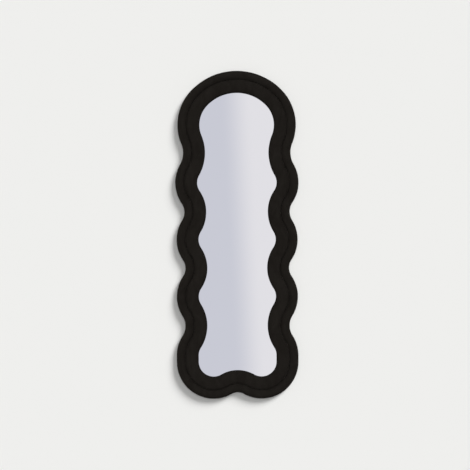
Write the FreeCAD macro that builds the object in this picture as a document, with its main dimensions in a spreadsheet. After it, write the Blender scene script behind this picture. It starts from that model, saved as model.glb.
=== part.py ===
"""Tall wall mirror with a wavy, upholstered frame in two padded tiers.

The frame is built as upholsterers build it. A base board, cut to the wavy outline, carries a foam
roll under a fabric cover round its outer edge. A raised ring with its own board, foam and cover is
screwed on from behind and holds the glass against the back panel's foam pads. Two keyhole plates
hang the mirror on wall screws, and felt bumpers keep it off the wall.

The outline is one closed chain of tangent arcs with a short straight flat at each side of the foot,
the same on the left and the right. Every other outline is an inset of it.

Millimetres. +X right, +Z up, the glass faces -Y and the wall is the plane Y = 0. The origin is
midway between the two keyhole entries. "Inset" is measured inwards from the widest outline and
"depth" from the wall towards the viewer.
"""
import FreeCAD, Part
import math
import os
from collections import namedtuple

import Sketcher

SIZES = [
    # the outline
    ("overall_height", 1600.0),
    ("upper_lobe_width", 602.0),
    ("lower_lobe_width", 591.0),
    ("lobe_radius", 178.0),
    ("lobe_pitch", 278.5),
    ("upper_lobe_height", 1055.0),
    ("first_neck_radius", 115.0),
    ("second_neck_radius", 80.0),
    ("third_neck_radius", 72.0),
    ("fourth_neck_radius", 90.0),
    ("shoulder_radius", 243.0),
    ("shoulder_spread", 92.0),
    ("crown_rise", 20.0),
    ("foot_radius", 180.0),
    ("foot_spread", 234.0),
    ("foot_side_flat", 30.0),
    ("notch_radius", 55.0),
    # widths across the frame
    ("band_width", 107.0),
    ("outer_tier_width", 43.0),
    ("tier_gap", 0.6),
    ("outer_hem_width", 18.0),
    ("outer_tuck_width", 15.0),
    ("raised_hem_width", 13.0),
    ("glass_overlap", 17.0),
    ("glass_clearance", 2.0),
    ("rebate_width", 10.0),
    ("panel_clearance", 1.0),
    # thicknesses and depths
    ("bumper_thickness", 2.0),
    ("fabric_thickness", 1.5),
    ("foam_clearance", 0.2),
    ("base_board_thickness", 12.0),
    ("raised_board_thickness", 9.0),
    ("glass_thickness", 4.0),
    ("film_thickness", 0.3),
    ("panel_thickness", 4.0),
    ("outer_equator_depth", 14.0),
    ("outer_side_radius", 20.0),
    ("groove_drop", 10.0),
    ("raised_equator_rise", 9.0),
    ("raised_side_radius", 14.0),
    ("raised_crown_rise", 3.0),
    # screws that hold the raised ring, from behind
    ("ring_screw_inset", 70.0),
    ("ring_screw_diameter", 4.0),
    ("ring_screw_length", 22.0),
    ("ring_head_diameter", 8.0),
    ("ring_head_height", 2.5),
    ("screw_clearance", 0.25),
    # screws that hold the back panel
    ("panel_screw_edge", 4.5),
    ("panel_screw_diameter", 3.0),
    ("panel_screw_length", 11.0),
    ("panel_head_diameter", 6.5),
    ("panel_head_height", 1.8),
    # keyhole plates, their screws and the pockets behind them
    ("hanger_inset", 52.0),
    ("hanger_width", 22.0),
    ("hanger_length", 66.0),
    ("hanger_thickness", 2.0),
    ("keyhole_entry_diameter", 10.0),
    ("keyhole_slot_width", 4.6),
    ("keyhole_travel", 12.0),
    ("hanger_screw_offset", 26.0),
    ("hanger_screw_diameter", 3.0),
    ("hanger_screw_length", 11.0),
    ("hanger_head_diameter", 6.5),
    ("hanger_head_height", 1.2),
    ("pocket_margin", 2.0),
    ("pocket_depth", 8.0),
    # felt bumpers, and the foam pads behind the glass
    ("bumper_inset", 50.0),
    ("bumper_diameter", 16.0),
    ("pad_width", 40.0),
    ("pad_length", 120.0),
    ("pad_spacing", 180.0),
    ("pad_pitch", 260.0),
    ("first_pad_height", 260.0),
]
# Places that several pieces share, worked out from the sizes
PLACES = [
    ("hang_height", "=dims.overall_height - dims.shoulder_radius - dims.crown_rise"),
    ("shoulder_x", "=dims.shoulder_spread / 2"),
    ("upper_lobe_x", "=dims.upper_lobe_width / 2 - dims.lobe_radius"),
    ("lower_lobe_x", "=dims.lower_lobe_width / 2 - dims.lobe_radius"),
    ("middle_lobe_height", "=dims.upper_lobe_height - dims.lobe_pitch"),
    ("lower_lobe_height", "=middle_lobe_height - dims.lobe_pitch"),
    ("foot_x", "=dims.foot_spread / 2"),
    ("hip_height", "=dims.foot_radius + dims.foot_side_flat"),
    ("hanger_reach", "=shoulder_x + dims.shoulder_radius - dims.hanger_inset"),
    ("board_inset", "=dims.outer_equator_depth - dims.bumper_thickness + dims.fabric_thickness"),
    ("raised_start", "=dims.outer_tier_width + dims.tier_gap"),
    ("raised_board_start", "=raised_start + dims.raised_equator_rise"),
    ("raised_board_end", "=dims.band_width - dims.raised_equator_rise"),
    ("glass_inset", "=dims.band_width - dims.glass_overlap"),
    ("opening_inset", "=glass_inset - dims.glass_clearance"),
    ("rebate_inset", "=opening_inset - dims.rebate_width"),
    ("panel_inset", "=rebate_inset + dims.panel_clearance"),
    ("panel_screw_inset", "=panel_inset + dims.panel_screw_edge"),
    ("board_back", "=dims.bumper_thickness"),
    ("hem_back", "=board_back - dims.fabric_thickness"),
    ("board_front", "=board_back + dims.base_board_thickness"),
    ("ring_seat", "=board_front + dims.fabric_thickness"),
    ("raised_board_back", "=ring_seat + dims.fabric_thickness"),
    ("raised_board_front", "=raised_board_back + dims.raised_board_thickness"),
    ("raised_equator", "=ring_seat + dims.raised_equator_rise"),
    ("glass_back", "=ring_seat - dims.glass_thickness"),
    ("film_back", "=glass_back - dims.film_thickness"),
    ("panel_front", "=board_back + dims.panel_thickness"),
    ("hanger_back", "=board_back - dims.hanger_thickness"),
]
PAD_ROWS = 4
FRONT = FreeCAD.Vector(0, -1, 0)
# Stands up what is drawn flat, so that its own axis points towards the viewer
FACING = FreeCAD.Rotation(FreeCAD.Vector(1, 0, 0), 90)

doc = FreeCAD.newDocument("wavy_mirror")


def fill_sheet(name, rows):
    """A sheet with a name in column A and its value, with that name as alias, in column B."""
    sheet = doc.addObject("Spreadsheet::Sheet", name)
    for row, (alias, content) in enumerate(rows, start=1):
        sheet.set(f"A{row}", alias)
        sheet.set(f"B{row}", str(content))
        sheet.setAlias(f"B{row}", alias)
    doc.recompute()
    return {alias: float(sheet.get(alias)) for alias, _ in rows}


dims = fill_sheet("dims", SIZES)
places = fill_sheet("places", PLACES)


# ---------------------------------------------------------------- the outline

# The arcs that bulge outwards, from the shoulder down: centre across, centre up and radius
BULGES = {
    "shoulder": ("places.shoulder_x", "places.hang_height", "dims.shoulder_radius"),
    "upper_lobe": ("places.upper_lobe_x", "dims.upper_lobe_height", "dims.lobe_radius"),
    "middle_lobe": ("places.lower_lobe_x", "places.middle_lobe_height", "dims.lobe_radius"),
    "lower_lobe": ("places.lower_lobe_x", "places.lower_lobe_height", "dims.lobe_radius"),
    "hip": ("places.foot_x", "places.hip_height", "dims.foot_radius"),
    "corner": ("places.foot_x", "dims.foot_radius", "dims.foot_radius"),
}
# The hollow arcs between them, from the top down, and the notch between the feet
HOLLOWS = {
    "first_neck": "dims.first_neck_radius",
    "second_neck": "dims.second_neck_radius",
    "third_neck": "dims.third_neck_radius",
    "fourth_neck": "dims.fourth_neck_radius",
    "notch": "dims.notch_radius",
}
Arc = namedtuple("Arc", "name x z radius start end")


def read(cell):
    """The number in a cell, given as sheet.alias."""
    sheet, alias = cell.split(".")
    return dims[alias] if sheet == "dims" else places[alias]


def neck_centre(above, below, radius):
    """Centre of the circle that touches two lobes from the outside, to their right."""
    (ax, az, ar), (bx, bz, br) = above, below
    span = math.hypot(bx - ax, bz - az)
    ra, rb = ar + radius, br + radius
    along = (ra * ra - rb * rb + span * span) / (2 * span)
    aside = math.sqrt(ra * ra - along * along)
    ux, uz = (bx - ax) / span, (bz - az) / span
    return ax + ux * along - uz * aside, az + uz * along + ux * aside


def heading(centre, target):
    return math.atan2(target[1] - centre[1], target[0] - centre[0])


def joined_arc(name, circle, start, end):
    """An arc whose angle falls along the chain where it bulges, and rises where it is hollow."""
    if name in HOLLOWS and end < start:
        end += 2 * math.pi
    if name not in HOLLOWS and end > start:
        end -= 2 * math.pi
    return Arc(name, *circle, start, end)


def right_half():
    """The arcs of the right half from the crown down to the notch, angles in radians."""
    circles = {name: tuple(read(cell) for cell in cells) for name, cells in BULGES.items()}
    rise, spread = dims["crown_rise"], places["shoulder_x"]
    crown_radius = dims["shoulder_radius"] + rise / 2 + spread ** 2 / (2 * rise)
    crown = (0.0, dims["overall_height"] - crown_radius, crown_radius)
    start = heading(crown, circles["shoulder"])
    chain = [joined_arc("crown", crown, math.pi / 2, start)]
    names = [name for name in BULGES if name != "corner"]
    for above, below, neck_name in zip(names, names[1:], HOLLOWS):
        upper, lower, radius = circles[above], circles[below], read(HOLLOWS[neck_name])
        neck = neck_centre(upper, lower, radius) + (radius,)
        chain.append(joined_arc(above, upper, start, heading(upper, neck)))
        chain.append(joined_arc(neck_name, neck, heading(neck, upper), heading(neck, lower)))
        start = heading(lower, neck)
    chain.append(joined_arc("hip", circles["hip"], start, 0.0))
    corner, radius = circles["corner"], dims["notch_radius"]
    drop = math.sqrt((corner[2] + radius) ** 2 - corner[0] ** 2)
    notch = (0.0, corner[1] - drop, radius)
    chain.append(joined_arc("corner", corner, 0.0, heading(corner, notch)))
    chain.append(joined_arc("notch", notch, heading(notch, corner), math.pi / 2))
    return chain


CHAIN = right_half()


def draw_outline():
    """The sketch of the whole outline. Each half runs from the crown down to the notch."""
    sketch = doc.addObject("Sketcher::SketchObject", "outline")
    sketch.Placement.Rotation = FACING
    rules = []
    ends = []
    for side in (1, -1):
        joints = []
        for arc in CHAIN:
            centre = FreeCAD.Vector(side * arc.x, arc.z, 0)
            circle = Part.Circle(centre, FreeCAD.Vector(0, 0, 1), arc.radius)
            angles = (arc.start, arc.end) if side > 0 else (math.pi - arc.start, math.pi - arc.end)
            edge = sketch.addGeometry(Part.ArcOfCircle(circle, *sorted(angles)))
            entry, leave = (1, 2) if angles[0] < angles[1] else (2, 1)
            joints.append((edge, entry, leave))
            if arc.name in BULGES:
                across, up, radius = BULGES[arc.name]
                ends_x = (-1, 1, edge, 3) if side > 0 else (edge, 3, -1, 1)
                rules.append((Sketcher.Constraint("Radius", edge, arc.radius), radius))
                rules.append((Sketcher.Constraint("DistanceX", *ends_x, arc.x), across))
                rules.append((Sketcher.Constraint("DistanceY", -1, 1, edge, 3, arc.z), up))
            if arc.name in HOLLOWS:
                rules.append((Sketcher.Constraint("Radius", edge, arc.radius), HOLLOWS[arc.name]))
            if arc.name in ("crown", "notch"):
                rules.append((Sketcher.Constraint("PointOnObject", edge, 3, -2), None))
            if arc.name == "hip":
                flat_x = side * (arc.x + arc.radius)
                flat = sketch.addGeometry(Part.LineSegment(
                    FreeCAD.Vector(flat_x, arc.z, 0),
                    FreeCAD.Vector(flat_x, dims["foot_radius"], 0)))
                joints.append((flat, 1, 2))
        for (first, _, leave), (second, entry, _) in zip(joints, joints[1:]):
            rules.append((Sketcher.Constraint("Tangent", first, leave, second, entry), None))
        ends.append((joints[0][:2], (joints[-1][0], joints[-1][2])))
    (top, foot), (left_top, left_foot) = ends
    rules.append((Sketcher.Constraint("PointOnObject", *top, -2), None))
    rules.append((Sketcher.Constraint("DistanceY", -1, 1, *top, dims["overall_height"]),
                  "dims.overall_height"))
    rules.append((Sketcher.Constraint("Coincident", *top, *left_top), None))
    rules.append((Sketcher.Constraint("PointOnObject", *foot, -2), None))
    rules.append((Sketcher.Constraint("PointOnObject", *left_foot, -2), None))
    numbers = sketch.addConstraint([rule for rule, _ in rules])
    for number, (_, expression) in zip(numbers, rules):
        if expression:
            sketch.setExpression(f"Constraints[{number}]", expression)
    doc.recompute()
    return sketch


outline = draw_outline()


# ---------------------------------------------------------------- boards, glass and panel

def inset_line(inset):
    """The outline moved inwards by a named size or place."""
    line = doc.addObject("Part::Offset2D", "line_at_" + inset.split(".")[1])
    line.Source = outline
    line.setExpression("Value", "-" + inset)
    return line


def sheet_of(name, line, back, thickness):
    """A flat blank: the area inside a line, from a depth forwards."""
    blank = doc.addObject("Part::Extrusion", name)
    blank.Base = line
    blank.DirMode = "Custom"
    blank.Dir = FRONT
    blank.Solid = True
    blank.setExpression("LengthFwd", thickness)
    blank.setExpression("Placement.Base.y", "-" + back)
    return blank


def cut(name, base, tool):
    result = doc.addObject("Part::Cut", name)
    result.Base = base
    result.Tool = tool
    return result


def group(name, members):
    bundle = doc.addObject("Part::Compound", name)
    bundle.Links = members
    return bundle


FINAL = []


def keep(piece, label):
    """Marks a finished sub-part and moves it so that the hanging height is the frame's zero."""
    piece.Label = label
    piece.setExpression("Placement.Base.z", "-places.hang_height")
    FINAL.append(piece)


# ---------------------------------------------------------------- screws

# A pan head narrows to this share of its width, over the part of its height above its rim
PAN_TOP = 0.6
PAN_RIM = 0.4
# A cross slot's length, depth and blade as shares of the head's width, height and slot length
SLOT_LENGTH = 0.6
SLOT_DEPTH = 0.6
SLOT_BLADE = 0.25


def turned(name, stages):
    """Cylinders and cones fused on one axis that points to the viewer.

    Each stage is its radius where it starts, its radius where it ends, its start and its length.
    """
    rounds = []
    for first, last, begin, long in stages:
        stage = doc.addObject("Part::Cylinder" if first == last else "Part::Cone", name + "_stage")
        stage.Placement.Rotation = FACING
        if first == last:
            stage.setExpression("Radius", first)
        else:
            stage.setExpression("Radius1", first)
            stage.setExpression("Radius2", last)
        stage.setExpression("Height", long)
        stage.setExpression("Placement.Base.y", f"-({begin})")
        rounds.append(stage)
    fused = doc.addObject("Part::MultiFuse", name)
    fused.Shapes = rounds
    return fused


def screw_stages(kind, hole):
    """The stages of a screw, or of its hole, in front of the surface that it seats on.

    Ring and hanger screws are countersunk. Panel screws have a pan head that stands proud.
    """
    grow = " + dims.screw_clearance" if hole else ""
    shank = f"(dims.{kind}_screw_diameter / 2{grow})"
    head = f"(dims.{kind}_head_diameter / 2{grow})"
    tall = f"dims.{kind}_head_height"
    tip = f"(dims.{kind}_screw_length{grow} - 2 * {shank})"
    if kind == "panel":
        neck = "0"
        heads = [(f"{PAN_TOP} * {head}", head, f"-{tall}", f"{1 - PAN_RIM} * {tall}"),
                 (head, head, f"-{PAN_RIM} * {tall}", f"{PAN_RIM} * {tall}")]
        lead = (shank, shank, f"-{tall}", tall)
    else:
        neck = f"({tall}{grow})"
        heads = [(head, shank, "0", neck)]
        lead = (head, head, f"-{tall}", tall)
    if hole:
        heads = [lead] + [stage for stage in heads if kind != "panel"]
    return heads + [(shank, shank, neck, f"{tip} - {neck}"), (shank, "0", tip, f"2 * {shank}")]


def screw(kind):
    """A screw with a cross slot in its head, seated on the plane Y = 0."""
    body = turned(kind + "_screw_body", screw_stages(kind, hole=False))
    arm = f"{SLOT_LENGTH} * dims.{kind}_head_diameter"
    blade = f"{SLOT_BLADE} * {arm}"
    deep = f"{SLOT_DEPTH} * dims.{kind}_head_height"
    top = f"dims.{kind}_head_height" if kind == "panel" else "0"
    slots = []
    for wide, high in ((arm, blade), (blade, arm)):
        slot = doc.addObject("Part::Box", kind + "_slot")
        slot.setExpression("Length", wide)
        slot.setExpression("Width", f"2 * {deep}")
        slot.setExpression("Height", high)
        slot.setExpression("Placement.Base.x", f"-{wide} / 2")
        slot.setExpression("Placement.Base.y", f"{top} - {deep}")
        slot.setExpression("Placement.Base.z", f"-{high} / 2")
        slots.append(slot)
    return cut(kind + "_screw", body, group(kind + "_slots", slots))


def at_places(name, model, spots, depth):
    """Copies of an object at points of the frame's plane, seated at a depth."""
    copies = []
    for x, z in spots:
        copy = doc.addObject("App::Link", name + "_copy")
        copy.LinkedObject = model
        copy.Placement.Base = FreeCAD.Vector(x, 0, z)
        copy.setExpression("Placement.Base.y", "-" + depth)
        copies.append(copy)
    return group(name, copies)


def arc_middles(inset):
    """One point at the middle of each arc of both halves, moved inwards."""
    points = []
    for arc in CHAIN:
        radius = arc.radius + inset if arc.name in HOLLOWS else arc.radius - inset
        middle = (arc.start + arc.end) / 2
        x = arc.x + radius * math.cos(middle)
        z = arc.z + radius * math.sin(middle)
        points += [(x, z), (-x, z)]
    return points


SPOTS = {
    "ring": arc_middles(dims["ring_screw_inset"]),
    "panel": arc_middles(places["panel_screw_inset"]),
    "hanger": [(side * places["hanger_reach"], places["hang_height"] + offset)
               for side in (-1, 1)
               for offset in (-dims["hanger_screw_offset"], dims["hanger_screw_offset"])],
}
SEATS = {"ring": "places.board_back", "panel": "places.board_back", "hanger": "places.hanger_back"}
HOLES = {}
for kind, spots in SPOTS.items():
    hole_model = turned(kind + "_hole", screw_stages(kind, hole=True))
    HOLES[kind] = at_places(kind + "_holes", hole_model, spots, SEATS[kind])


# ---------------------------------------------------------------- the pieces

def hanger_pocket(name, side):
    """The pocket in the base board that takes the wall screw's head behind a keyhole."""
    pocket = doc.addObject("Part::Box", name)
    reach = "dims.keyhole_entry_diameter / 2 + dims.pocket_margin"
    pocket.setExpression("Length", f"2 * ({reach})")
    pocket.setExpression("Width", "dims.pocket_depth")
    pocket.setExpression("Height", f"2 * ({reach}) + dims.keyhole_travel")
    pocket.setExpression("Placement.Base.x", f"{side} * places.hanger_reach - ({reach})")
    pocket.setExpression("Placement.Base.y", "-places.board_back - dims.pocket_depth")
    pocket.setExpression("Placement.Base.z", f"places.hang_height - ({reach})")
    return pocket


board_line = inset_line("places.board_inset")
opening_line = inset_line("places.opening_inset")
rebate_line = inset_line("places.rebate_inset")
board_blank = sheet_of("board_blank", board_line, "places.board_back", "dims.base_board_thickness")
opening = sheet_of("opening", opening_line, "places.board_back", "dims.base_board_thickness")
rebate = sheet_of("rebate", rebate_line, "places.board_back", "dims.panel_thickness")
pockets = [hanger_pocket("left_pocket", -1), hanger_pocket("right_pocket", 1)]
removed = group("board_cuts", [opening, rebate] + list(HOLES.values()) + pockets)
keep(cut("base_board", board_blank, removed), "base_board")

raised_blank = sheet_of("raised_blank", inset_line("places.raised_board_start"),
                        "places.raised_board_back", "dims.raised_board_thickness")
raised_opening = sheet_of("raised_opening", inset_line("places.raised_board_end"),
                          "places.raised_board_back", "dims.raised_board_thickness")
raised_removed = group("raised_cuts", [raised_opening, HOLES["ring"]])
keep(cut("raised_board", raised_blank, raised_removed), "raised_board")

glass_line = inset_line("places.glass_inset")
keep(sheet_of("mirror_glass", glass_line, "places.glass_back", "dims.glass_thickness"),
     "mirror_glass")
keep(sheet_of("backing_film", glass_line, "places.film_back", "dims.film_thickness"),
     "backing_film")
panel_blank = sheet_of("panel_blank", inset_line("places.panel_inset"), "places.board_back",
                       "dims.panel_thickness")
keep(cut("back_panel", panel_blank, HOLES["panel"]), "back_panel")

pads = []
for row in range(PAD_ROWS):
    for side in (-1, 1):
        pad = doc.addObject("Part::Box", "pad")
        pad.setExpression("Length", "dims.pad_width")
        pad.setExpression("Width", "places.film_back - places.panel_front")
        pad.setExpression("Height", "dims.pad_length")
        pad.setExpression("Placement.Base.x", f"({side} * dims.pad_spacing - dims.pad_width) / 2")
        pad.setExpression("Placement.Base.y", "-places.film_back")
        pad.setExpression("Placement.Base.z", f"dims.first_pad_height + {row} * dims.pad_pitch"
                                              " - dims.pad_length / 2")
        pads.append(pad)
keep(group("glass_pads", pads), "glass_pads")


# ---------------------------------------------------------------- foam rolls and covers

def outer_face(off):
    """The outer tier's face, from its back edge round the side to the groove, moved inwards by
    off. Each entry is a corner and the centre of the arc that leaves it."""
    side = dims["outer_side_radius"]
    equator = dims["outer_equator_depth"]
    back = places["hem_back"]
    groove = dims["outer_tier_width"]
    run = groove - side
    fall = (run ** 2 + dims["groove_drop"] ** 2) / (2 * dims["groove_drop"])
    low = equator + side - fall
    turn_in = places["board_inset"]
    edge_depth = low + math.sqrt((fall - off) ** 2 - (run - off) ** 2)
    return [((turn_in, back + off), (turn_in, equator)),
            ((off, equator), (side, equator)),
            ((side, equator + side - off), (side, low)),
            ((groove - off, edge_depth), None)]


def raised_face(off):
    """The raised tier's face, from its outer back edge over the crown to its inner back edge."""
    side = dims["raised_side_radius"]
    equator = places["raised_equator"]
    back = places["ring_seat"]
    first, last = places["raised_start"], dims["band_width"]
    first_edge, last_edge = places["raised_board_start"], places["raised_board_end"]
    middle = (first + last) / 2
    run = (last - first) / 2 - side
    rise = dims["raised_crown_rise"]
    sink = (run ** 2 - rise ** 2) / (2 * rise)
    reach = rise + sink
    lean = run * (side - off) / reach
    lift = sink * (side - off) / reach
    crown = (middle, equator - sink)
    return [((first_edge, back + off), (first_edge, equator)),
            ((first + off, equator), (first + side, equator)),
            ((middle - run - lean, equator + lift), crown),
            ((middle + run + lean, equator + lift), (last - side, equator)),
            ((last - off, equator), (last_edge, equator)),
            ((last_edge, back + off), None)]


def backwards(path):
    """The same path from its other end."""
    corners = [corner for corner, _ in reversed(path)]
    centres = [centre for _, centre in reversed(path[:-1])] + [None]
    return list(zip(corners, centres))


def section(path):
    """A closed wire in the plane x = 0 at the crown, from corners given as (inset, depth)."""
    def spot(corner):
        return FreeCAD.Vector(0, -corner[1], dims["overall_height"] - corner[0])

    edges = []
    for (corner, centre), (following, _) in zip(path, path[1:] + path[:1]):
        if centre is None:
            edges.append(Part.LineSegment(spot(corner), spot(following)).toShape())
            continue
        middle = [(a + b) / 2 - c for a, b, c in zip(corner, following, centre)]
        stretch = math.dist(corner, centre) / math.hypot(*middle)
        through = [c + stretch * m for c, m in zip(centre, middle)]
        edges.append(Part.Arc(spot(corner), spot(through), spot(following)).toShape())
    return Part.Wire(edges)


def swept(name, path):
    """The section carried once round the outline."""
    drawn = doc.addObject("Part::Feature", name + "_section")
    drawn.Shape = section(path)
    roll = doc.addObject("Part::Sweep", name)
    roll.Sections = [drawn]
    roll.Spine = (outline, [])
    roll.Solid = True
    roll.Frenet = False
    return roll


fabric = dims["fabric_thickness"]
under = fabric + dims["foam_clearance"]
groove = dims["outer_tier_width"]
hem_end = places["board_inset"] + dims["outer_hem_width"]
tuck_end = groove + dims["outer_tuck_width"]
inner_face = backwards(outer_face(fabric))
keep(swept("outer_cover", [((hem_end, places["hem_back"]), None)] + outer_face(0.0)
           + [((groove, places["ring_seat"]), None),
              ((tuck_end, places["ring_seat"]), None),
              ((tuck_end, places["board_front"]), None),
              ((groove - fabric, places["board_front"]), None)]
           + inner_face + [((hem_end, places["board_back"]), None)]), "outer_cover")
keep(swept("outer_foam", outer_face(under)
           + [((groove - under, places["board_front"]), None),
              ((places["board_inset"], places["board_front"]), None)]), "outer_foam")

raised_hem = dims["raised_hem_width"]
hem_first = places["raised_board_start"] + raised_hem
hem_last = places["raised_board_end"] - raised_hem
keep(swept("raised_cover", [((hem_first, places["ring_seat"]), None)] + raised_face(0.0)
           + [((hem_last, places["ring_seat"]), None),
              ((hem_last, places["raised_board_back"]), None)]
           + backwards(raised_face(fabric))
           + [((hem_first, places["raised_board_back"]), None)]), "raised_cover")
keep(swept("raised_foam", raised_face(under)
           + [((places["raised_board_end"], places["raised_board_front"]), None),
              ((places["raised_board_start"], places["raised_board_front"]), None)]),
     "raised_foam")


# ---------------------------------------------------------------- fixings at the back

def keyhole_plate(label, side):
    """A flat steel plate with a keyhole: a round entry with a slot that rises from it."""
    plate = doc.addObject("Part::Box", label + "_blank")
    plate.setExpression("Length", "dims.hanger_width")
    plate.setExpression("Width", "dims.hanger_thickness")
    plate.setExpression("Height", "dims.hanger_length")
    plate.setExpression("Placement.Base.x", f"{side} * places.hanger_reach - dims.hanger_width / 2")
    plate.setExpression("Placement.Base.y", "-places.board_back")
    plate.setExpression("Placement.Base.z", "places.hang_height - dims.hanger_length / 2")
    removed = [HOLES["hanger"]]
    for width, lift in (("keyhole_entry_diameter", "0"),
                        ("keyhole_slot_width", "dims.keyhole_travel")):
        entry = doc.addObject("Part::Cylinder", label + "_round")
        entry.Placement.Rotation = FACING
        entry.setExpression("Radius", f"dims.{width} / 2")
        entry.setExpression("Height", "dims.hanger_thickness")
        entry.setExpression("Placement.Base.x", f"{side} * places.hanger_reach")
        entry.setExpression("Placement.Base.y", "-places.hanger_back")
        entry.setExpression("Placement.Base.z", f"places.hang_height + {lift}")
        removed.append(entry)
    slot = doc.addObject("Part::Box", label + "_slot")
    slot.setExpression("Length", "dims.keyhole_slot_width")
    slot.setExpression("Width", "dims.hanger_thickness")
    slot.setExpression("Height", "dims.keyhole_travel")
    slot.setExpression("Placement.Base.x",
                       f"{side} * places.hanger_reach - dims.keyhole_slot_width / 2")
    slot.setExpression("Placement.Base.y", "-places.board_back")
    slot.setExpression("Placement.Base.z", "places.hang_height")
    keep(cut(label + "_plate", plate, group(label + "_cuts", removed + [slot])), label)


keyhole_plate("left_hanger", -1)
keyhole_plate("right_hanger", 1)
for kind, spots in SPOTS.items():
    screws = at_places(kind + "_screw_set", screw(kind), spots, SEATS[kind])
    keep(screws, kind + "_screws")

bumpers = []
for side in (-1, 1):
    for name in ("upper_lobe", "middle_lobe", "lower_lobe", "corner"):
        across, up, radius = BULGES[name]
        bumper = doc.addObject("Part::Cylinder", "bumper")
        bumper.Placement.Rotation = FACING
        bumper.setExpression("Radius", "dims.bumper_diameter / 2")
        bumper.setExpression("Height", "dims.bumper_thickness")
        bumper.setExpression("Placement.Base.x", f"{side} * ({across} + {radius} - dims.bumper_inset)")
        bumper.setExpression("Placement.Base.z", up)
        bumpers.append(bumper)
keep(group("wall_bumpers", bumpers), "wall_bumpers")


# ---------------------------------------------------------------- checks and files

doc.recompute()
for item in doc.Objects:
    faults = [state for state in item.State if state in ("Invalid", "Error")]
    if faults:
        raise RuntimeError(f"{item.Name}: {faults}")
for piece in FINAL:
    if piece.Shape.isNull() or not piece.Shape.isValid():
        raise RuntimeError(f"{piece.Label}: bad shape")

os.makedirs("parts", exist_ok=True)
for piece in FINAL:
    piece.Shape.exportStep(f"parts/{piece.Label}.step")
    box = piece.Shape.BoundBox
    print(f"{piece.Label}: {len(piece.Shape.Solids)} solids, {piece.Shape.Volume / 1000:.1f} cm3, "
          f"x {box.XMin:.1f} {box.XMax:.1f}, y {box.YMin:.1f} {box.YMax:.1f}, "
          f"z {box.ZMin:.1f} {box.ZMax:.1f}")
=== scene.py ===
# %% [markdown]
# # A wavy, upholstered wall mirror
# The object is a tall mirror with a wide dark frame. The frame is foam under a short-piled, matte
# fabric, in two padded tiers with a groove between them. Everything inside it is a fixed CAD
# model, which this script loads first. The looks are built round it and never move it.

# %% Load the fixed model
import math

import bmesh
import bpy
from mathutils import Matrix, Vector


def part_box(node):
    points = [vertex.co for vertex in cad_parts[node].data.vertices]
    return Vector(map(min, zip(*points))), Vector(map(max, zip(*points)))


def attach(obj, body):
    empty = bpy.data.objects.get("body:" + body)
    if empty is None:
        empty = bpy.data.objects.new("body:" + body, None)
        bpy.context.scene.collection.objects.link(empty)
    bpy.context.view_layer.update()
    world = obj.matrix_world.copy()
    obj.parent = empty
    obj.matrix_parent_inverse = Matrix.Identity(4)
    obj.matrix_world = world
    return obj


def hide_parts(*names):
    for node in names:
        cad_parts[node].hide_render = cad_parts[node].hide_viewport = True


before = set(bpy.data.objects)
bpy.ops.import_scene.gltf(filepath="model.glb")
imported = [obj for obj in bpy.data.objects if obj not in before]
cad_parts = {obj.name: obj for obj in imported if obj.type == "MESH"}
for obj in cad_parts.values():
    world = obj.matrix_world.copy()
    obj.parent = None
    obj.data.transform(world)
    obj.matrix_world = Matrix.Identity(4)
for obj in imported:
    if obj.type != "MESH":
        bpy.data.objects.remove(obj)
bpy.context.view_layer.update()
MM = 0.001
low, high = (Vector(corner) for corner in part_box("outer_cover"))
print("frame is", [round(side, 4) for side in high - low], "m")

# %% [markdown]
# ## The camera
# The photograph looks straight at the wall from far away, so its lens is long. 470 pixels span
# 2.3 m at the mirror, which sets the focal length once the distance is chosen. The mirror hangs a
# quarter of a degree off plumb in the picture. Rolling the camera by that angle shows the same
# thing and leaves the model upright.

# %% Set the camera
PICTURE_PIXELS = 470
PIXEL = 4.893 * MM
VIEW_SPAN = PICTURE_PIXELS * PIXEL
CAMERA_DISTANCE = 7.0
OFF_CENTRE = Vector((-2.1 * PIXEL, 0, -0.3 * PIXEL))
ROLL = math.radians(0.26)
SENSOR = 36

scene = bpy.context.scene
middle = (low + high) / 2
camera_data = bpy.data.cameras.new("photo_camera")
camera = bpy.data.objects.new("photo_camera", camera_data)
scene.collection.objects.link(camera)
camera_data.sensor_width = SENSOR
camera_data.lens = SENSOR * CAMERA_DISTANCE / VIEW_SPAN
camera.location = Vector((0, -CAMERA_DISTANCE, middle.z)) + OFF_CENTRE
camera.rotation_euler = (math.pi / 2, ROLL, 0)
scene.camera = camera
scene.view_settings.view_transform = "Standard"
print("lens", round(camera_data.lens, 1), "mm")

# %% [markdown]
# ## Small helpers
# A colour is written as the hex value that a picture editor shows, and Blender wants it linear.
# Every node tree in this file is built with one function, which adds a node, sets it up and
# links its inputs.


# %% Colour and node helpers
def colour(hex_value):
    """An sRGB hex colour as linear red, green, blue and alpha."""
    parts = [int(hex_value[i:i + 2], 16) / 255 for i in (1, 3, 5)]
    return [p / 12.92 if p <= 0.04045 else ((p + 0.055) / 1.055) ** 2.4 for p in parts] + [1.0]


def add(tree, kind, inputs=None, **settings):
    """Adds a node, sets its properties, then gives each input a value or a link."""
    node = tree.nodes.new(kind)
    for name, value in settings.items():
        setattr(node, name, value)
    for name, value in (inputs or {}).items():
        if isinstance(value, bpy.types.NodeSocket):
            tree.links.new(value, node.inputs[name])
        else:
            node.inputs[name].default_value = value
    return node


def new_tree(name, inputs):
    """A Geometry Nodes tree with named inputs: (name, socket type, default value)."""
    tree = bpy.data.node_groups.new(name, "GeometryNodeTree")
    tree.interface.new_socket("Geometry", in_out="INPUT", socket_type="NodeSocketGeometry")
    for label, kind, default in inputs:
        socket = tree.interface.new_socket(label, in_out="INPUT", socket_type=kind)
        if default is not None:
            socket.default_value = default
    tree.interface.new_socket("Geometry", in_out="OUTPUT", socket_type="NodeSocketGeometry")
    return tree


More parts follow.
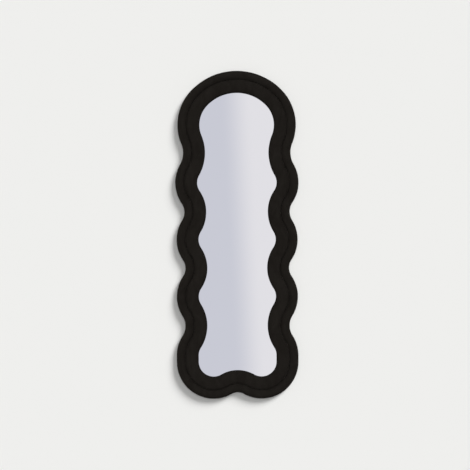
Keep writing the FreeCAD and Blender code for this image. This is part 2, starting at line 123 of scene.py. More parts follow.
# %% Mesh helpers
def mesh_object(name, points, edges=(), faces=()):
    """A mesh object at the origin, linked to the scene."""
    mesh = bpy.data.meshes.new(name)
    mesh.from_pydata(points, edges, faces)
    piece = bpy.data.objects.new(name, mesh)
    scene.collection.objects.link(piece)
    return piece


def closed_loop(name, points):
    """A mesh of points, each joined to the next and the last to the first."""
    count = len(points)
    return mesh_object(name, points, edges=[(i, (i + 1) % count) for i in range(count)])


def run_tree(tree, base, name, values):
    """Runs a tree on a base mesh and returns the result as a plain mesh object."""
    modifier = base.modifiers.new(tree.name, "NODES")
    modifier.node_group = tree
    for item in tree.interface.items_tree:
        if item.in_out == "INPUT" and item.name in values:
            modifier[item.identifier] = values[item.name]
    bpy.context.view_layer.update()
    evaluated = base.evaluated_get(bpy.context.evaluated_depsgraph_get())
    mesh = bpy.data.meshes.new_from_object(evaluated)
    base.modifiers.remove(modifier)
    piece = bpy.data.objects.new(name, mesh)
    scene.collection.objects.link(piece)
    return piece


# %% [markdown]
# ## The wavy outline
# The widest outline of the frame is a chain of circles. Big ones bulge out, at the head, at three
# lobes on each side and at the two feet. Smaller ones, outside the frame, hollow it between them.
# Each hollow touches its two neighbours, which fixes its centre. Half of the chain is worked out
# and the other half is its mirror image. Lengths are in metres, and heights are measured from the
# lowest edge.

# %% Give the outline its sizes
HEIGHT = high.z - low.z
OUTLINE = {
    "lobe_reach": (0.301, 0.2955, 0.2955),
    "lobe_height": (1.055, 0.7765, 0.498),
    "lobe_radius": 0.178,
    "neck_radii": (0.115, 0.080, 0.072, 0.090),
    "shoulder_radius": 0.243,
    "shoulder_x": 0.046,
    "crown_rise": 0.020,
    "foot_radius": 0.180,
    "foot_x": 0.117,
    "foot_flat": 0.030,
    "notch_radius": 0.055,
}
STEP = 2.9 * MM
print("outline is", round(HEIGHT, 3), "m tall, with a point about every", STEP, "m")


# %% Circles and arcs
def heading(centre, target):
    """The angle at which a target is seen from a centre."""
    return math.atan2(target[1] - centre[1], target[0] - centre[0])


def neck(above, below, radius):
    """The circle that touches two circles from outside, on their right."""
    (ax, az, ar), (bx, bz, br) = above, below
    span = math.hypot(bx - ax, bz - az)
    ra, rb = ar + radius, br + radius
    along = (ra * ra - rb * rb + span * span) / (2 * span)
    aside = math.sqrt(ra * ra - along * along)
    ux, uz = (bx - ax) / span, (bz - az) / span
    return ax + ux * along - uz * aside, az + uz * along + ux * aside, radius


def arc_points(circle, start, end, bulging):
    """Evenly spaced points on an arc, without its last one. Bulging arcs run clockwise."""
    if bulging and end > start:
        end -= 2 * math.pi
    if not bulging and end < start:
        end += 2 * math.pi
    x, z, radius = circle
    count = max(2, round(abs(end - start) * radius / STEP))
    turns = [start + (end - start) * i / count for i in range(count)]
    return [(x + radius * math.cos(turn), z + radius * math.sin(turn)) for turn in turns]


# %% Work out the outline
def half_outline(sizes):
    """The right half from the crown to the notch, as (x, z) with z up from the lowest edge."""
    rise, shoulder_x = sizes["crown_rise"], sizes["shoulder_x"]
    crown_radius = sizes["shoulder_radius"] + rise / 2 + shoulder_x ** 2 / (2 * rise)
    crown = (0, HEIGHT - crown_radius, crown_radius)
    shoulder = (shoulder_x, HEIGHT - sizes["shoulder_radius"] - rise, sizes["shoulder_radius"])
    lobes = [(reach - sizes["lobe_radius"], height, sizes["lobe_radius"])
             for reach, height in zip(sizes["lobe_reach"], sizes["lobe_height"])]
    foot_x, foot_radius, flat = sizes["foot_x"], sizes["foot_radius"], sizes["foot_flat"]
    hip = (foot_x, foot_radius + flat, foot_radius)
    corner = (foot_x, foot_radius, foot_radius)
    bulges = [shoulder] + lobes + [hip]
    start = heading(crown, shoulder)
    points = arc_points(crown, math.pi / 2, start, True)
    for above, below, radius in zip(bulges, bulges[1:], sizes["neck_radii"]):
        hollow = neck(above, below, radius)
        points += arc_points(above, start, heading(above, hollow), True)
        points += arc_points(hollow, heading(hollow, above), heading(hollow, below), False)
        start = heading(below, hollow)
    points += arc_points(hip, start, 0, True)
    side = round(flat / STEP)
    points += [(hip[0] + hip[2], hip[1] - flat * i / side) for i in range(side)]
    drop = math.sqrt((foot_radius + sizes["notch_radius"]) ** 2 - foot_x ** 2)
    notch = (0, foot_radius - drop, sizes["notch_radius"])
    points += arc_points(corner, 0, heading(corner, notch), True)
    points += arc_points(notch, heading(notch, corner), math.pi / 2, False)
    return points + [(0, notch[1] + notch[2])]


right = half_outline(OUTLINE)
left = [(-x, z) for x, z in right[-2:0:-1]]
outline = [(x, z + low.z) for x, z in right + left]
length = sum(math.dist(a, b) for a, b in zip(outline, outline[1:] + outline[:1]))
print("outline", len(outline), "points,", round(length, 3), "m, reaches",
      round(max(x for x, _ in outline), 4), "m")

# %% [markdown]
# ## The section of each tier
# A padded tier is the same section carried round the whole outline. The section is drawn on
# paper as inset from the widest edge and depth from the wall: a quarter round at the back, a
# fuller round at the side, and a long, flat arc over the top. The cover is a thin skin there, with
# hems that turn under. Points are close together where the fabric shows.

# %% Give the sections their sizes
WALL_GAP = -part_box("base_board")[1].y
BOARD_FRONT = -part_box("base_board")[0].y
FABRIC = 1.5 * MM
CLEARANCE = 0.2 * MM
SKIN = FABRIC + CLEARANCE
GROOVE = 43 * MM
BAND = 107 * MM
FINE = 2.4 * MM
COARSE = 7 * MM
OUTER = {"turn_in": 13.5 * MM, "equator": 14 * MM, "side": 20 * MM, "fall": 10 * MM,
         "hem_end": 31.5 * MM, "tuck_end": 58 * MM}
RAISED = {"first": 43.6 * MM, "last": BAND, "edge": 9 * MM, "side": 14 * MM, "rise": 3 * MM,
          "hem": 13 * MM}
seat = BOARD_FRONT + FABRIC
hem_back = WALL_GAP - FABRIC
print("board from", round(WALL_GAP, 4), "to", round(BOARD_FRONT, 4), "m off the wall")


# %% Points along a drawn path
def arc_between(start, end, centre, spacing):
    """Points from start towards end round a centre, the shorter way, without the last."""
    first, last = heading(centre, start), heading(centre, end)
    sweep = (last - first + math.pi) % (2 * math.pi) - math.pi
    radius = math.dist(start, centre)
    count = max(2, round(abs(sweep) * radius / spacing))
    turns = [first + sweep * i / count for i in range(count)]
    return [(centre[0] + radius * math.cos(turn), centre[1] + radius * math.sin(turn))
            for turn in turns]


def path_points(path, spacing):
    """Points along corners joined by flat lines, or by arcs where a corner names a centre."""
    points = []
    for (corner, centre), (following, _) in zip(path, path[1:]):
        if centre is None:
            count = max(1, round(math.dist(corner, following) / COARSE))
            points += [tuple(c + (f - c) * i / count for c, f in zip(corner, following))
                       for i in range(count)]
        else:
            points += arc_between(corner, following, centre, spacing)
    return points + [path[-1][0]]


# %% Draw the two faces
def outer_face(off):
    """The outer tier's face from its back edge, round the side, to the groove.

    off is how far the line runs inside the cloth's face."""
    turn_in, equator, side = OUTER["turn_in"], OUTER["equator"], OUTER["side"]
    run = GROOVE - side
    big = (run ** 2 + OUTER["fall"] ** 2) / (2 * OUTER["fall"])
    low_centre = equator + side - big
    end_depth = low_centre + math.sqrt((big - off) ** 2 - (run - off) ** 2)
    return [((turn_in, hem_back + off), (turn_in, equator)),
            ((off, equator), (side, equator)),
            ((side, equator + side - off), (side, low_centre)),
            ((GROOVE - off, end_depth), None)]


def raised_face(off):
    """The raised tier's face from its outer back edge, over the crown, to its inner one."""
    first, last, edge, side = (RAISED[key] for key in ("first", "last", "edge", "side"))
    equator = seat + edge
    run = (last - first) / 2 - side
    centre = (first + last) / 2
    sink = (run ** 2 - RAISED["rise"] ** 2) / (2 * RAISED["rise"])
    reach = RAISED["rise"] + sink
    lean, lift = run * (side - off) / reach, sink * (side - off) / reach
    return [((first + edge, seat + off), (first + edge, equator)),
            ((first + off, equator), (first + side, equator)),
            ((centre - run - lean, equator + lift), (centre, equator - sink)),
            ((centre + run + lean, equator + lift), (last - side, equator)),
            ((last - off, equator), (last - edge, equator)),
            ((last - edge, seat + off), None)]


# %% Close the sections of the covers
def closed_section(outer_path, inner_path):
    """The points of a skin: its outer path finely, then its inner path coarsely, backwards."""
    return path_points(outer_path, FINE) + path_points(inner_path, COARSE)[::-1]


outer_section = closed_section(
    [((OUTER["hem_end"], hem_back), None)] + outer_face(0)
    + [((GROOVE, seat), None), ((OUTER["tuck_end"], seat), None)],
    [((OUTER["hem_end"], WALL_GAP), None)] + outer_face(FABRIC)
    + [((GROOVE - FABRIC, BOARD_FRONT), None), ((OUTER["tuck_end"], BOARD_FRONT), None)])
first_edge, last_edge = RAISED["first"] + RAISED["edge"], RAISED["last"] - RAISED["edge"]
first_hem, last_hem = first_edge + RAISED["hem"], last_edge - RAISED["hem"]
inner_seat = seat + FABRIC
raised_section = closed_section(
    [((first_hem, seat), None)] + raised_face(0) + [((last_hem, seat), None)],
    [((first_hem, inner_seat), None)] + raised_face(FABRIC) + [((last_hem, inner_seat), None)])
print("sections of", len(outer_section), "and", len(raised_section), "points")

# %% [markdown]
# ## One tree for both tiers
# A section that follows a path is exactly what Curve to Mesh does, so one Geometry Nodes tree
# makes every roll. The curves lie flat while they are swept, and a quarter turn stands the result
# up against the wall.

# %% Sweep the section along the outline
QUARTER_TURN = (math.pi / 2, 0, 0)
roll_tree = new_tree("padded_roll", [
    ("Section", "NodeSocketObject", None),
    ("Unevenness", "NodeSocketFloat", 0.0),
    ("Relief from depth", "NodeSocketFloat", 0.0),
    ("Material", "NodeSocketMaterial", None),
])
tree = roll_tree
given = add(tree, "NodeGroupInput").outputs
track = add(tree, "GeometryNodeMeshToCurve", {"Mesh": given["Geometry"]})
track = add(tree, "GeometryNodeSetCurveNormal", {"Curve": track.outputs["Curve"]}, mode="Z_UP")
drawn = add(tree, "GeometryNodeObjectInfo", {"Object": given["Section"]})
drawn = add(tree, "GeometryNodeMeshToCurve", {"Mesh": drawn.outputs["Geometry"]})
roll = add(tree, "GeometryNodeCurveToMesh", {"Curve": track.outputs["Curve"],
                                             "Profile Curve": drawn.outputs["Curve"]})
stand = add(tree, "GeometryNodeTransform", {"Geometry": roll.outputs["Mesh"],
                                            "Rotation": QUARTER_TURN})
print("the sweep takes", len(tree.nodes), "nodes")

# %% [markdown]
# Foam under cloth is never quite even, so a slow noise moves the surface in and out by a fraction
# of a millimetre, in swells about 7 cm apart. It is real relief, so that it also shows at the rim.
# It fades out where the cloth turns to the back, because it is pressed flat there.

# %% Make the roll uneven
SWELLS_PER_METRE = 14.0
FADE_DEPTH = 6 * MM
place = add(tree, "GeometryNodeInputPosition").outputs["Position"]
normal = add(tree, "GeometryNodeInputNormal").outputs["Normal"]
slow = add(tree, "ShaderNodeTexNoise", {"Vector": place, "Scale": SWELLS_PER_METRE, "Detail": 2.5})
slow = add(tree, "ShaderNodeMath", {0: slow.outputs["Fac"], 1: 0.5}, operation="SUBTRACT")
slow = add(tree, "ShaderNodeMath", {0: slow.outputs["Value"], 1: given["Unevenness"]},
           operation="MULTIPLY")
depth = add(tree, "ShaderNodeSeparateXYZ", {"Vector": place}).outputs["Y"]
edge = add(tree, "ShaderNodeMath", {0: given["Relief from depth"], 1: -1.0}, operation="MULTIPLY")
fade_end = add(tree, "ShaderNodeMath", {0: edge.outputs["Value"], 1: FADE_DEPTH},
               operation="SUBTRACT")
fade = add(tree, "ShaderNodeMapRange", {"Value": depth, "From Min": edge.outputs["Value"],
                                        "From Max": fade_end.outputs["Value"]})
amount = add(tree, "ShaderNodeMath", {0: slow.outputs["Value"], 1: fade.outputs["Result"]},
             operation="MULTIPLY")
push = add(tree, "ShaderNodeVectorMath", {0: normal, "Scale": amount.outputs["Value"]},
           operation="SCALE")
puffed = add(tree, "GeometryNodeSetPosition", {"Geometry": stand.outputs["Geometry"],
                                               "Offset": push.outputs["Vector"]})


# %% Finish the roll tree
def end_tree(tree, geometry, material):
    """Makes copies real, gives them a material and hands them out of the tree."""
    real = add(tree, "GeometryNodeRealizeInstances", {"Geometry": geometry})
    dressed = add(tree, "GeometryNodeSetMaterial", {"Geometry": real.outputs["Geometry"],
                                                    "Material": material})
    add(tree, "NodeGroupOutput", {"Geometry": dressed.outputs["Geometry"]})


smooth = add(tree, "GeometryNodeSetShadeSmooth", {"Geometry": puffed.outputs["Geometry"]})
end_tree(tree, smooth.outputs["Geometry"], given["Material"])
print("roll tree has", len(tree.nodes), "nodes")

# %% [markdown]
# ## The fabric
# The photograph doesn't settle which cloth this is. It shows an even, nearly black surface with no
# gloss and hardly any grain, which is read here as a velvet with a short, upright pile. Near by,
# the tips of such a pile make a fine grain. Where it has been stroked it leans, in soft clouds
# about
# 3 cm wide and 6 cm long. The light that the leaning pile catches there is painted into the colour
# as a slightly paler tone. The ends of the fibres catch light that grazes them, so the rim of each
# roll is a little paler than its top. Real pile of this kind is a few tenths of a millimetre
# across. It is drawn coarser here, so that it shows.


# %% Material helpers
def new_material(name):
    """An empty material and its node tree."""
    material = bpy.data.materials.new(name)
    material.use_nodes = True
    material.node_tree.nodes.clear()
    return material, material.node_tree


def finish_shader(tree, inputs):
    """Ends a material with a Principled shader that has the given inputs."""
    shader = add(tree, "ShaderNodeBsdfPrincipled", inputs)
    add(tree, "ShaderNodeOutputMaterial", {"Surface": shader.outputs["BSDF"]})


# %% Make the velvet
PILE = 1.1 * MM
CLOUDS_PER_METRE = (34.0, 34.0, 16.0)
velvet, tree = new_material("black_short_pile_velvet")
place = add(tree, "ShaderNodeTexCoord").outputs["Object"]
pile = add(tree, "ShaderNodeTexNoise", {"Vector": place, "Scale": 1 / PILE, "Detail": 3.0})
stroked = add(tree, "ShaderNodeMapping", {"Vector": place, "Scale": CLOUDS_PER_METRE})
nap = add(tree, "ShaderNodeTexNoise", {"Vector": stroked.outputs["Vector"], "Scale": 1.0,
                                       "Detail": 4.0, "Distortion": 0.8})
tone = add(tree, "ShaderNodeMixRGB", {"Fac": pile.outputs["Fac"], "Color1": colour("#131211"),
                                      "Color2": colour("#2a2724")})
# Painted sheen: the pile leans in soft clouds where it was stroked, and the light it catches there
# is painted in as a paler tone.
painted_lay_sheen = add(tree, "ShaderNodeMapRange", {"Value": nap.outputs["Fac"], "From Min": 0.3,
                                          "From Max": 0.7})
painted_lay_sheen = add(tree, "ShaderNodeMixRGB", {"Fac": painted_lay_sheen.outputs["Result"],
                                        "Color1": colour("#dedad6"), "Color2": colour("#fffdfa")})
tone = add(tree, "ShaderNodeMixRGB", {"Fac": 1.0, "Color1": tone.outputs["Color"],
                                      "Color2": painted_lay_sheen.outputs["Color"]}, blend_type="MULTIPLY")
bump = add(tree, "ShaderNodeBump", {"Height": nap.outputs["Fac"], "Strength": 0.3,
                                    "Distance": 1.2 * MM})
bump = add(tree, "ShaderNodeBump", {"Height": pile.outputs["Fac"], "Strength": 0.6,
                                    "Distance": 0.5 * MM, "Normal": bump.outputs["Normal"]})
finish_shader(tree, {"Base Color": tone.outputs["Color"], "Roughness": 0.95,
                     "Specular IOR Level": 0.05, "Sheen Weight": 0.08, "Sheen Roughness": 0.35,
                     "Sheen Tint": colour("#b8aca0"), "Normal": bump.outputs["Normal"]})
print("velvet has", len(tree.nodes), "nodes")

# %% [markdown]
# ## The two covered tiers
# Each cover is one strip of cloth with no seam that shows. It takes the place of the plain CAD
# skin and keeps that skin's section, apart from the slight unevenness.

# %% Roll the covers
track_object = closed_loop("track", [(x, z, 0) for x, z in outline])


def make_roll(name, section_points, material, replaced, slot, **values):
    """Carries a section round the outline as a padded piece that stands for CAD nodes."""
    section = closed_loop(name + "_section", [(inset, -depth, 0)
                                              for inset, depth in section_points])
    inputs = {"Section": section, "Material": material}
    inputs.update({label.replace("_", " "): value for label, value in values.items()})
    piece = run_tree(roll_tree, track_object, name, inputs)
    bpy.data.objects.remove(section)
    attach(piece, "root")
    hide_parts(*replaced)
    corners = [Vector(c) for c in piece.bound_box]
    spans = [(min(c[i] for c in corners), max(c[i] for c in corners)) for i in range(3)]
    print(name, len(piece.data.polygons), "faces,", [[round(v, 4) for v in s] for s in spans])


make_roll("outer_tier_cover", outer_section, velvet, ["outer_cover"], "cover_fabric",
          Unevenness=1.6 * MM, Relief_from_depth=4 * MM)
make_roll("raised_tier_cover", raised_section, velvet, ["raised_cover"], "cover_fabric",
          Unevenness=1.2 * MM, Relief_from_depth=seat + 2 * MM)

# %% [markdown]
# ## The foam under the covers
# Nothing of the foam shows on the finished mirror, but it is what gives the covers their shape.
# The same tree makes it from a section without relief. Cut foam is matte and full of small open
# cells. Real ones are about half a millimetre, and they are drawn twice as coarse.

# %% Make the foam
FOAM_CELL = 1.2 * MM
foam, tree = new_material("upholstery_foam")
place = add(tree, "ShaderNodeTexCoord").outputs["Object"]
cells = add(tree, "ShaderNodeTexVoronoi", {"Vector": place, "Scale": 1 / FOAM_CELL})
tone = add(tree, "ShaderNodeMixRGB", {"Fac": cells.outputs["Distance"],
                                      "Color1": colour("#e6dcbe"), "Color2": colour("#cbbd97")})
bump = add(tree, "ShaderNodeBump", {"Height": cells.outputs["Distance"], "Strength": 0.5,
                                    "Distance": 0.5 * MM})
finish_shader(tree, {"Base Color": tone.outputs["Color"], "Roughness": 0.9,
                     "Normal": bump.outputs["Normal"]})

# %% Roll the foam
board_edge = OUTER["turn_in"]
outer_foam_section = path_points(
    outer_face(SKIN) + [((GROOVE - SKIN, BOARD_FRONT), None), ((board_edge, BOARD_FRONT), None),
                        ((board_edge, WALL_GAP + CLEARANCE), None)], COARSE)[:-1]
board_top = -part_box("raised_board")[0].y
raised_foam_section = path_points(
    raised_face(SKIN) + [((last_edge, board_top), None), ((first_edge, board_top), None),
                         ((first_edge, seat + SKIN), None)], COARSE)[:-1]
make_roll("outer_tier_foam", outer_foam_section, foam, ["outer_foam"], "foam")
make_roll("raised_tier_foam", raised_foam_section, foam, ["raised_foam"], "foam")

# %% [markdown]
# ## The pads behind the glass
# Plain cut blocks of the same foam press the glass against the raised ring. Their places are read
# from the CAD model, where each pad is a separate solid, and their edges are softened.


# %% Cut the pads
SAME_POINT = 0.01 * MM
PAD_EDGE = 1.5 * MM


def islands(node):
    """The boxes of the separate solids of a CAD node, as (lowest corner, highest corner)."""
    mesh = bmesh.new()
    mesh.from_mesh(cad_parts[node].data)
    bmesh.ops.remove_doubles(mesh, verts=mesh.verts, dist=SAME_POINT)
    left_over = set(mesh.verts)
    found = []
    while left_over:
        reached = {left_over.pop()}
        newest = set(reached)
        while newest:
            near = {edge.other_vert(vert) for vert in newest for edge in vert.link_edges}
            newest = near - reached
            reached |= near
        left_over -= reached
        spans = [(min(v.co[i] for v in reached), max(v.co[i] for v in reached)) for i in range(3)]
        found.append((Vector(s[0] for s in spans), Vector(s[1] for s in spans)))
    mesh.free()
    return sorted(found, key=lambda box: (round(box[0].z, 4), box[0].x))


pad_boxes = islands("glass_pads")
mesh = bmesh.new()
for lowest, highest in pad_boxes:
    bmesh.ops.create_cube(mesh, matrix=Matrix.Translation((lowest + highest) / 2)
                          @ Matrix.Diagonal((highest - lowest).to_4d()))
bmesh.ops.bevel(mesh, geom=mesh.edges[:], offset=PAD_EDGE, segments=3, affect="EDGES")
pads = mesh_object("glass_pad_blocks", [])
mesh.to_mesh(pads.data)
mesh.free()
pads.data.materials.append(foam)
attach(pads, "root")
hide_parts("glass_pads")
print(len(pad_boxes), "pads")

# %% [markdown]
# ## The glass
# A mirror is float glass with silver behind it, so its reflection is nearly perfect and slightly
# cool. A metal shader does that. What a real one adds is a trace of wiping marks, about 2 cm wide
# and 8 cm long, which only show as a faint change in roughness.


# %% Silver the mirror
WIPE_STRETCH = (9.0, 9.0, 2.5)


def refinish(node, material):
    """Gives every face of a CAD node one material."""
    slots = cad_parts[node].data.materials
    if not slots:
        slots.append(material)
    for index in range(len(slots)):
        slots[index] = material


mirror, tree = new_material("silvered_float_glass")
place = add(tree, "ShaderNodeTexCoord").outputs["Object"]
stretched = add(tree, "ShaderNodeMapping", {"Vector": place, "Scale": WIPE_STRETCH})
wipes = add(tree, "ShaderNodeTexNoise", {"Vector": stretched.outputs["Vector"], "Detail": 4.0})
polish = add(tree, "ShaderNodeMapRange", {"Value": wipes.outputs["Fac"], "From Min": 0.35,
                                          "From Max": 0.75, "To Min": 0.012, "To Max": 0.03})
finish_shader(tree, {"Base Color": colour("#f2f5f5"), "Metallic": 1.0,
                     "Roughness": polish.outputs["Result"]})
refinish("mirror_glass", mirror)
print("mirror material has", len(tree.nodes), "nodes")

# %% [markdown]
# ## The boards
# The two rings are sawn from poplar plywood. Its face has long, pale grain that runs up the board,
# with fine short pores in it, and sanding leaves it dull. A noise stretched along the height makes
# the grain, in lines about 6 mm apart, and a finer one makes the pores.

# %% Finish the boards
GRAIN_STRETCH = (26.0, 26.0, 1.6)
PORE_STRETCH = (900.0, 900.0, 60.0)
board, tree = new_material("sanded_poplar_plywood")
place = add(tree, "ShaderNodeTexCoord").outputs["Object"]
along = add(tree, "ShaderNodeMapping", {"Vector": place, "Scale": GRAIN_STRETCH})
grain = add(tree, "ShaderNodeTexNoise", {"Vector": along.outputs["Vector"], "Scale": 6.0,
                                         "Detail": 6.0, "Distortion": 0.6})
pores = add(tree, "ShaderNodeMapping", {"Vector": place, "Scale": PORE_STRETCH})
pores = add(tree, "ShaderNodeTexNoise", {"Vector": pores.outputs["Vector"], "Detail": 2.0})
tone = add(tree, "ShaderNodeMixRGB", {"Fac": grain.outputs["Fac"], "Color1": colour("#b8925f"),
                                      "Color2": colour("#dcc093")})
tone = add(tree, "ShaderNodeMixRGB", {"Fac": 0.12, "Color1": tone.outputs["Color"],
                                      "Color2": pores.outputs["Fac"]}, blend_type="MULTIPLY")
bump = add(tree, "ShaderNodeBump", {"Height": pores.outputs["Fac"], "Strength": 0.2,
                                    "Distance": 0.1 * MM})
finish_shader(tree, {"Base Color": tone.outputs["Color"], "Roughness": 0.62,
                     "Normal": bump.outputs["Normal"]})
for node in ("base_board", "raised_board"):
    refinish(node, board)
print("board material has", len(tree.nodes), "nodes")

# %% [markdown]
# ## The back panel
# Tempered hardboard is pressed wood fibre with oil in it: dark brown, half glossy on its smooth
# face, and mottled in patches as large as a hand. Its fibres are drawn coarser than real.

# %% Finish the panel
FIBRES_PER_METRE = 420.0
MOTTLES_PER_METRE = 9.0
panel, tree = new_material("tempered_hardboard")
place = add(tree, "ShaderNodeTexCoord").outputs["Object"]
fibres = add(tree, "ShaderNodeTexNoise", {"Vector": place, "Scale": FIBRES_PER_METRE,
                                          "Detail": 4.0})
mottles = add(tree, "ShaderNodeTexNoise", {"Vector": place, "Scale": MOTTLES_PER_METRE,
                                           "Detail": 3.0})
tone = add(tree, "ShaderNodeMixRGB", {"Fac": fibres.outputs["Fac"], "Color1": colour("#4a3324"),
                                      "Color2": colour("#6b4c35")})
tone = add(tree, "ShaderNodeMixRGB", {"Fac": 0.25, "Color1": tone.outputs["Color"],
                                      "Color2": mottles.outputs["Fac"]}, blend_type="SOFT_LIGHT")
bump = add(tree, "ShaderNodeBump", {"Height": fibres.outputs["Fac"], "Strength": 0.25,
                                    "Distance": 0.15 * MM})
finish_shader(tree, {"Base Color": tone.outputs["Color"], "Roughness": 0.5,
                     "Normal": bump.outputs["Normal"]})
refinish("back_panel", panel)
print("panel material has", len(tree.nodes), "nodes")

# %% [markdown]
# ## Plates and screws
# Zinc plating is a pale, slightly uneven metal with a soft gloss. The screws of the raised ring
# are phosphated, which is nearly black and duller. Both have a fine crystalline surface, and its
# grains are drawn coarser than real, so that the tone and the gloss vary a little.

# %% Plate the metal
GLOSS_SPREAD = 0.08


def metal(name, hex_dark, hex_light, roughness, grit):
    """A plated metal whose tone and gloss vary a little from grain to grain."""
    material, tree = new_material(name)
    place = add(tree, "ShaderNodeTexCoord").outputs["Object"]
    spots = add(tree, "ShaderNodeTexNoise", {"Vector": place, "Scale": 1 / grit, "Detail": 3.0})
    tone = add(tree, "ShaderNodeMixRGB", {"Fac": spots.outputs["Fac"], "Color1": colour(hex_dark),
                                          "Color2": colour(hex_light)})
    gloss = add(tree, "ShaderNodeMapRange", {"Value": spots.outputs["Fac"],
                                             "To Min": roughness - GLOSS_SPREAD,
                                             "To Max": roughness + GLOSS_SPREAD})
    finish_shader(tree, {"Base Color": tone.outputs["Color"], "Metallic": 1.0,
                         "Roughness": gloss.outputs["Result"]})
    return material


zinc = metal("zinc_plated_steel", "#b4b6b2", "#d3d5d2", 0.32, 2.5 * MM)
phosphate = metal("black_phosphated_steel", "#1c1c1e", "#34343a", 0.5, 1.5 * MM)
plated = ("left_hanger", "right_hanger", "hanger_screws", "panel_screws")
for node in plated:
    refinish(node, zinc)
refinish("ring_screws", phosphate)
print("zinc on", len(plated), "nodes, phosphate on one")

# %% [markdown]
# ## Felt and film
# The bumpers are pressed wool felt, which is fluffy and has no gloss. The back of the glass has a
# plastic safety film, an even grey with a faint ripple and a soft gloss.

# %% Finish the felt
FLUFF = 0.8 * MM
felt, tree = new_material("pressed_wool_felt")
place = add(tree, "ShaderNodeTexCoord").outputs["Object"]
fluff = add(tree, "ShaderNodeTexNoise", {"Vector": place, "Scale": 1 / FLUFF, "Detail": 4.0})
tone = add(tree, "ShaderNodeMixRGB", {"Fac": fluff.outputs["Fac"], "Color1": colour("#4a4b4e"),
                                      "Color2": colour("#6d6e71")})
bump = add(tree, "ShaderNodeBump", {"Height": fluff.outputs["Fac"], "Strength": 0.6,
                                    "Distance": 0.4 * MM})
finish_shader(tree, {"Base Color": tone.outputs["Color"], "Roughness": 0.95,
                     "Sheen Weight": 0.1, "Normal": bump.outputs["Normal"]})
refinish("wall_bumpers", felt)

# %% Finish the film
RIPPLES_PER_METRE = 30.0
film, tree = new_material("grey_safety_film")
place = add(tree, "ShaderNodeTexCoord").outputs["Object"]
ripple = add(tree, "ShaderNodeTexNoise", {"Vector": place, "Scale": RIPPLES_PER_METRE,
                                          "Detail": 2.0})
tone = add(tree, "ShaderNodeMixRGB", {"Fac": ripple.outputs["Fac"], "Color1": colour("#8d9296"),
                                      "Color2": colour("#9da2a6")})
finish_shader(tree, {"Base Color": tone.outputs["Color"], "Roughness": 0.4})
refinish("backing_film", film)
print(len(bpy.data.materials), "materials in the file")

# %% [markdown]
# ## The staples
# The outer cover's hem is stapled to the back of the board, one staple about every four
# centimetres, along a line inside the edge. The tree shifts the outline inwards, marks even places
# on it, and works out the turn that lays a staple along the line with its legs in the board.

# %% Find the places of the staples
STAPLE_WIRE = 0.45 * MM
staple_tree = new_tree("staples_along_the_outline", [
    ("Staple", "NodeSocketObject", None),
    ("Inset", "NodeSocketFloat", 24 * MM),
    ("Pitch", "NodeSocketFloat", 38 * MM),
    ("Wire radius", "NodeSocketFloat", STAPLE_WIRE),
    ("Material", "NodeSocketMaterial", None),
])
tree = staple_tree
given = add(tree, "NodeGroupInput").outputs
line = add(tree, "GeometryNodeMeshToCurve", {"Mesh": given["Geometry"]})
line = add(tree, "GeometryNodeSetCurveNormal", {"Curve": line.outputs["Curve"]}, mode="Z_UP")
inwards = add(tree, "GeometryNodeInputNormal").outputs["Normal"]
shift = add(tree, "ShaderNodeVectorMath", {0: inwards, "Scale": given["Inset"]}, operation="SCALE")
line = add(tree, "GeometryNodeSetPosition", {"Geometry": line.outputs["Curve"],
                                             "Offset": shift.outputs["Vector"]})
marks = add(tree, "GeometryNodeResampleCurve", {"Curve": line.outputs["Geometry"],
                                                "Length": given["Pitch"]}, mode="LENGTH")
marks = add(tree, "GeometryNodeCurveToPoints", {"Curve": marks.outputs["Curve"]}, mode="EVALUATED")
turn = add(tree, "FunctionNodeAxesToRotation", {"Primary Axis": marks.outputs["Tangent"],
                                                "Secondary Axis": (0, 0, 1)},
           primary_axis="X", secondary_axis="Z")

# %% [markdown]
# A staple is a bent wire, so it is drawn as three straight lines. The tree rounds its corners,
# gives it thickness and puts a copy on each mark.

# %% Bend the wire and copy it
STAPLE_BEND = 0.8 * MM
WIRE_SIDES = 8
drawn = add(tree, "GeometryNodeObjectInfo", {"Object": given["Staple"]})
wire = add(tree, "GeometryNodeMeshToCurve", {"Mesh": drawn.outputs["Geometry"]})
wire = add(tree, "GeometryNodeFilletCurve", {"Curve": wire.outputs["Curve"],
                                             "Radius": STAPLE_BEND, "Limit Radius": True},
           mode="POLY")
ring = add(tree, "GeometryNodeCurvePrimitiveCircle", {"Resolution": WIRE_SIDES,
                                                      "Radius": given["Wire radius"]})
staple = add(tree, "GeometryNodeCurveToMesh", {"Curve": wire.outputs["Curve"],
                                               "Profile Curve": ring.outputs["Curve"],
                                               "Fill Caps": True})
copies = add(tree, "GeometryNodeInstanceOnPoints", {"Points": marks.outputs["Points"],
                                                    "Instance": staple.outputs["Mesh"],
                                                    "Rotation": turn.outputs["Rotation"]})
stand = add(tree, "GeometryNodeTransform", {"Geometry": copies.outputs["Instances"],
                                            "Rotation": QUARTER_TURN})
end_tree(tree, stand.outputs["Geometry"], given["Material"])
print("staple tree has", len(tree.nodes), "nodes")

# %% [markdown]
# The crown of each staple is pressed into the cloth by a little more than half of its wire, so it
# stays clear of the wall.

# %% Staple the hem
HALF_CROWN = 5 * MM
LEG = 8 * MM
crown_depth = hem_back + 0.25 * STAPLE_WIRE
leg_end = crown_depth + LEG
bent_wire = [(-HALF_CROWN, 0, leg_end), (-HALF_CROWN, 0, crown_depth),
             (HALF_CROWN, 0, crown_depth), (HALF_CROWN, 0, leg_end)]
staple_lines = mesh_object("staple_lines", bent_wire, edges=[(0, 1), (1, 2), (2, 3)])
staples = run_tree(staple_tree, track_object, "hem_staples", {"Staple": staple_lines,
                                                              "Material": zinc})
bpy.data.objects.remove(staple_lines)
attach(staples, "root")
depths = [vertex.co.y for vertex in staples.data.vertices]
print("staples with", len(staples.data.polygons), "faces, from", round(min(depths), 5), "to",
      round(max(depths), 5), "m; hem at", round(-hem_back, 5))

# %% [markdown]
# ## Wall and floor
# The mirror hangs on a plain pale wall. The wall shows from its front only and lets light through,
# so that the back of the mirror can be looked at too, in the same light. Neither card bounces
# light or shows in the glass, which keeps the wall as even as a studio backdrop.


